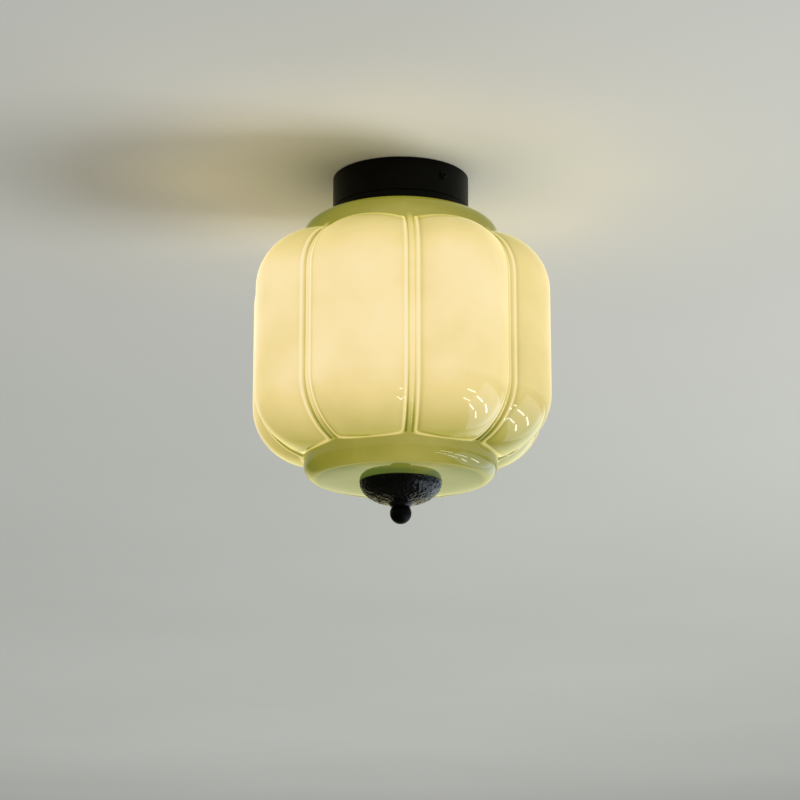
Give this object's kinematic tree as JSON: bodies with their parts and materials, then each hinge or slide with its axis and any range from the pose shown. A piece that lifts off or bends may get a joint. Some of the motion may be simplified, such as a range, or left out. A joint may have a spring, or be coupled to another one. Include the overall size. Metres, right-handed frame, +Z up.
{
  "type": "ceiling light",
  "caption": "Flush ceiling light: black metal cup, lobed pale green glass shade with ribs, flange and foot, and a hammered black finial with a ball knob that unscrews to lower the shade.",
  "frame": {"origin": "centre of the ceiling plate's two slots, on the ceiling plane", "axes": "+Z up into the ceiling, the light hangs towards -Z, -Y is the front seen in the picture, +X is its right"},
  "size_m": [0.2168, 0.2168, 0.2605],
  "materials": {
    "zinc_steel": "zinc plated, satin",
    "dark_rubber": "matte",
    "white_nylon": "matte moulded",
    "brass": "plain turned",
    "black_coat": "satin black powder coat",
    "hammered_black": "hammered, satin black",
    "clear_silicone": "soft, slightly cloudy",
    "holder_ceramic": "unglazed",
    "spring_metal": "bright drawn",
    "green_glass": "cased, glossy, lit from inside",
    "lamp_plastic": "moulded",
    "lamp_cover": "frosted, lit"
  },
  "bodies": {
    "base": {"ceiling_plate": "zinc_steel", "cable_bush": "dark_rubber", "terminal_block": "white_nylon", "terminal_screws": "zinc_steel", "block_screws": "zinc_steel", "earth_screw": "brass", "earth_washer": "brass", "canopy": "black_coat", "canopy_screws": "black_coat", "gallery": "black_coat", "top_gasket": "clear_silicone", "centre_rod": "zinc_steel", "rod_nuts": "zinc_steel", "rod_washers": "zinc_steel", "lampholder_1": "holder_ceramic", "lampholder_2": "holder_ceramic", "lampholder_3": "holder_ceramic", "lampholder_contacts": "spring_metal", "lampholder_screws": "zinc_steel"},
    "shade": {"glass_shade": "green_glass", "shade_bush": "clear_silicone"},
    "finial_cup": {"finial_cup": "hammered_black", "finial_gasket": "clear_silicone"},
    "finial_knob": {"finial_knob": "black_coat", "finial_insert": "brass"},
    "bulb_1": {"bulb_1_body": "lamp_plastic", "bulb_1_cover": "lamp_cover", "bulb_1_pins": "spring_metal"},
    "bulb_2": {"bulb_2_body": "lamp_plastic", "bulb_2_cover": "lamp_cover", "bulb_2_pins": "spring_metal"},
    "bulb_3": {"bulb_3_body": "lamp_plastic", "bulb_3_cover": "lamp_cover", "bulb_3_pins": "spring_metal"}
  },
  "joints": [
    {"name": "shade_lower", "type": "slide", "parent": "base", "child": "shade", "axis": [0, 0, -1], "range_m": [0, 0.225]},
    {"name": "finial_travel", "type": "slide", "parent": "shade", "child": "finial_cup", "axis": [0, 0, -1], "range_m": [0, 0.007]},
    {"name": "finial_turn", "type": "hinge", "parent": "finial_cup", "child": "finial_knob", "pos_m": [0, 0, -0.2527], "axis": [0, 0, -1], "range_deg": [0, 2520]},
    {"name": "bulb_1_pull", "type": "slide", "parent": "base", "child": "bulb_1", "axis": [0, 0, -1], "range_m": [0, 0.012]},
    {"name": "bulb_2_pull", "type": "slide", "parent": "base", "child": "bulb_2", "axis": [0, 0, -1], "range_m": [0, 0.012]},
    {"name": "bulb_3_pull", "type": "slide", "parent": "base", "child": "bulb_3", "axis": [0, 0, -1], "range_m": [0, 0.012]}
  ],
  "couplings": [
    {"joint": "finial_turn", "follows": "finial_travel", "rad_per_m": 6283.2}
  ]
}
